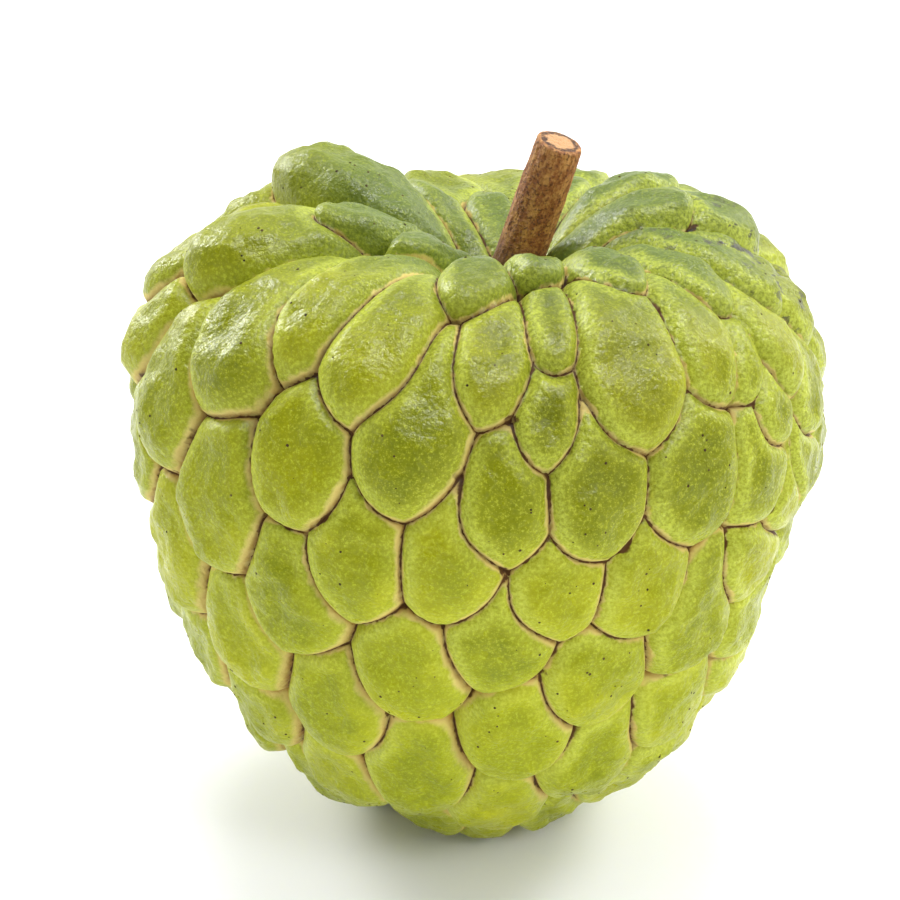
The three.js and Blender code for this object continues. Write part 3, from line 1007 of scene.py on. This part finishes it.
def stem_points(rings, sides):
    """The points of every ring, then the middles of the root's end and of the cut end."""
    angle = np.linspace(0, 2 * pi, sides, endpoint=False)
    points = []
    for z, radius, _ in rings:
        uneven = radius * (1 + STEM_UNEVENNESS * np.sin(2 * angle + STEM_WINDING * z))
        ring = [uneven * np.cos(angle), uneven * np.sin(angle), np.full_like(angle, z)]
        points.append(np.stack(ring, 1))
    return np.concatenate([*points, [(0, 0, -STEM_ROOT_DEPTH), (0, 0, STEM_REACH)]])


def stem_faces(levels, sides):
    """Quads from ring to ring, and triangles from the first and the last ring to their middles."""
    faces = []
    for level in range(levels - 1):
        for k in range(sides):
            a = level * sides + k
            b = level * sides + (k + 1) % sides
            faces.append((a, b, b + sides, a + sides))
    top = (levels - 1) * sides
    root_middle = levels * sides
    for k in range(sides):
        following = (k + 1) % sides
        faces.append((following, k, root_middle))
        faces.append((top + k, top + following, root_middle + 1))
    return faces


def make_stem(settings):
    """The leaning woody stem, closed at both ends, with the attributes that its material reads."""
    rings = stem_rings(settings.rings)
    points = stem_points(rings, settings.sides)
    root = body_point(CROWN) + np.array([0, 0, CENTRE_HEIGHT])
    placed = points @ np.array(stem_rotation().to_matrix()).T + root
    mesh = mesh_from("stem_bark", placed, stem_faces(len(rings), settings.sides))
    along = np.clip(points[:, 2] / STEM_REACH, 0, 1)
    from_axis = np.hypot(points[:, 0], points[:, 1]) / STEM_END_RADIUS
    cut_end = np.concatenate([np.repeat([mark for _, _, mark in rings], settings.sides), [0, 1]])
    add_attributes(mesh, "POINT", along_stem=along, from_axis=from_axis, cut_end=cut_end)
    return link("stem_bark", mesh)


# ---- Operators ----------------------------------------------------------------------------

class APPLE_OT_fruit(Operator):
    """Builds the fruit's skin with its carpels and replaces the plain solid"""
    bl_idname = "custard_apple.fruit"
    bl_label = "Fruit"

    def execute(self, context):
        settings = context.scene.apple_fruit
        skin = make_skin(settings)
        tree = skin_relief_tree(skin_material(context.scene.apple_colours))
        apply_tree(skin, tree, {"Dents": settings.dents, "Ripples": settings.ripples})
        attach(skin, "root")
        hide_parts("fruit")
        return {"FINISHED"}


class APPLE_OT_specks(Operator):
    """Scatters the dark specks over the fruit's skin"""
    bl_idname = "custard_apple.specks"
    bl_label = "Specks"

    def execute(self, context):
        skin = bpy.data.objects.get("fruit_skin")
        if skin is None:
            raise RuntimeError("The fruit has to be built before its specks")
        settings = context.scene.apple_specks
        specks = link("skin_specks", skin.data.copy())
        tree = speck_tree(speck_material(settings.tint))
        values = {"Density": settings.density, "Radius": settings.radius, "Seed": settings.seed}
        apply_tree(specks, tree, values)
        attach(specks, "root")
        return {"FINISHED"}


class APPLE_OT_stem(Operator):
    """Builds the woody stem and replaces the plain solid"""
    bl_idname = "custard_apple.stem"
    bl_label = "Stem"

    def execute(self, context):
        settings = context.scene.apple_stem
        stem = make_stem(settings)
        apply_tree(stem, stem_grain_tree(bark_material(settings)), {"Grain": settings.grain})
        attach(stem, "root")
        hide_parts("stem")
        return {"FINISHED"}


class APPLE_OT_stage(Operator):
    """Sets the floor, the light and the camera"""
    bl_idname = "custard_apple.stage"
    bl_label = "Stage"

    FLOOR_HALF_SIZE = 3.0
    FLOOR_ROUGHNESS = 0.9
    SENSOR_WIDTH = 36
    FRAMING_SHIFT = (-0.0256, 0.0516)
    LIGHT_AIM = Vector((0, 0, 0.045))

    # Name, place, size, power in watts, and the rays that the light is hidden from.
    LIGHTS = (
        ("Overhead light", (0, 0.28, 1.1), (0.6, 0.6), 8.6, "visible_glossy"),
        ("Front light", (0.5, -0.58, 0.56), (0.3, 0.3), 2.9, None),
        ("Left rim light", (-0.66, 0.46, 0.62), (0.35, 0.4), 4.8, None),
        ("Right rim light", (0.7, 0.46, 0.6), (0.35, 0.4), 6.2, None),
        ("Overhead glint", (0.14, -0.2, 1.1), (0.2, 0.2), 24.0, "visible_diffuse"),
        ("Side glint", (-0.64, 0.6, 0.44), (0.2, 0.3), 7.5, "visible_diffuse"),
    )

    def execute(self, context):
        settings = context.scene.apple_studio
        self.lay_floor(settings)
        self.set_air(context.scene)
        for light in self.LIGHTS:
            self.hang_light(*light)
        self.set_camera(context.scene, settings)
        return {"FINISHED"}

    def lay_floor(self, settings):
        half = self.FLOOR_HALF_SIZE
        mesh = bpy.data.meshes.new("studio_floor")
        corners = [(-half, -half, 0), (half, -half, 0), (half, half, 0), (-half, half, 0)]
        mesh.from_pydata(corners, [], [(0, 1, 2, 3)])
        floor = link("studio_floor", mesh)
        mesh.materials.append(plain_material("Studio floor", settings.floor, self.FLOOR_ROUGHNESS))

    def set_air(self, scene):
        """White light from all round, stronger from behind and from both sides."""
        world = bpy.data.worlds.new("Studio air")
        world.use_nodes = True
        nodes = Nodes(world.node_tree)
        toward = nodes.add("ShaderNodeTexCoord").outputs["Generated"]
        toward = nodes.add("ShaderNodeSeparateXYZ", Vector=toward).outputs
        behind = nodes.ramp(toward["Y"], -0.5, 0.8, 0.28, 1.15)
        beside = nodes.ramp(nodes.math("ABSOLUTE", toward["X"]), 0.4, 0.95, 0.0, 0.55)
        sky = world.node_tree.nodes["Background"].inputs
        sky["Color"].default_value = colour((1.0, 1.0, 1.0))
        nodes.feed(sky["Strength"], nodes.total(behind, beside))
        scene.world = world
        scene.view_settings.view_transform = "Standard"

    def hang_light(self, name, place, size, power, hidden_from):
        data = bpy.data.lights.new(name, "AREA")
        data.shape = "RECTANGLE"
        data.size, data.size_y = size
        data.energy = power
        lamp = link(name, data)
        lamp.location = place
        lamp.rotation_euler = (self.LIGHT_AIM - lamp.location).to_track_quat("-Z", "Y").to_euler()
        if hidden_from:
            setattr(lamp, hidden_from, False)

    def set_camera(self, scene, settings):
        data = bpy.data.cameras.new("Studio camera")
        data.lens = settings.lens
        data.sensor_width = self.SENSOR_WIDTH
        data.shift_x, data.shift_y = self.FRAMING_SHIFT
        camera = link("Studio camera", data)
        middle = Vector((0, 0, CENTRE_HEIGHT * MM))
        back = Vector((0, -cos(settings.elevation), sin(settings.elevation)))
        camera.location = middle + back * settings.distance
        camera.rotation_euler = (pi / 2 - settings.elevation, 0, 0)
        scene.camera = camera


class APPLE_PT_panel(Panel):
    """Lists the pieces and their settings"""
    bl_idname = "APPLE_PT_panel"
    bl_label = "Custard Apple"
    bl_space_type = "VIEW_3D"
    bl_region_type = "UI"
    bl_category = "Custard Apple"

    def draw(self, context):
        for operator, holders in STEPS:
            box = self.layout.box()
            box.operator(operator.bl_idname)
            for holder in holders:
                group = getattr(context.scene, holder)
                for name in group.__annotations__:
                    box.prop(group, name)


STEPS = (
    (APPLE_OT_fruit, ("apple_fruit", "apple_colours")),
    (APPLE_OT_specks, ("apple_specks",)),
    (APPLE_OT_stem, ("apple_stem",)),
    (APPLE_OT_stage, ("apple_studio",)),
)

SETTINGS = {
    "apple_fruit": FruitSettings,
    "apple_colours": SkinColours,
    "apple_specks": SpeckSettings,
    "apple_stem": StemSettings,
    "apple_studio": StudioSettings,
}

CLASSES = (*SETTINGS.values(), *(operator for operator, _ in STEPS), APPLE_PT_panel)


def register():
    for item in CLASSES:
        bpy.utils.register_class(item)
    for name, group in SETTINGS.items():
        setattr(bpy.types.Scene, name, PointerProperty(type=group))


def unregister():
    for name in SETTINGS:
        delattr(bpy.types.Scene, name)
    for item in reversed(CLASSES):
        bpy.utils.unregister_class(item)


def main():
    register()
    bpy.ops.custard_apple.fruit()
    bpy.ops.custard_apple.specks()
    bpy.ops.custard_apple.stem()
    bpy.ops.custard_apple.stage()


if __name__ == "__main__":
    main()
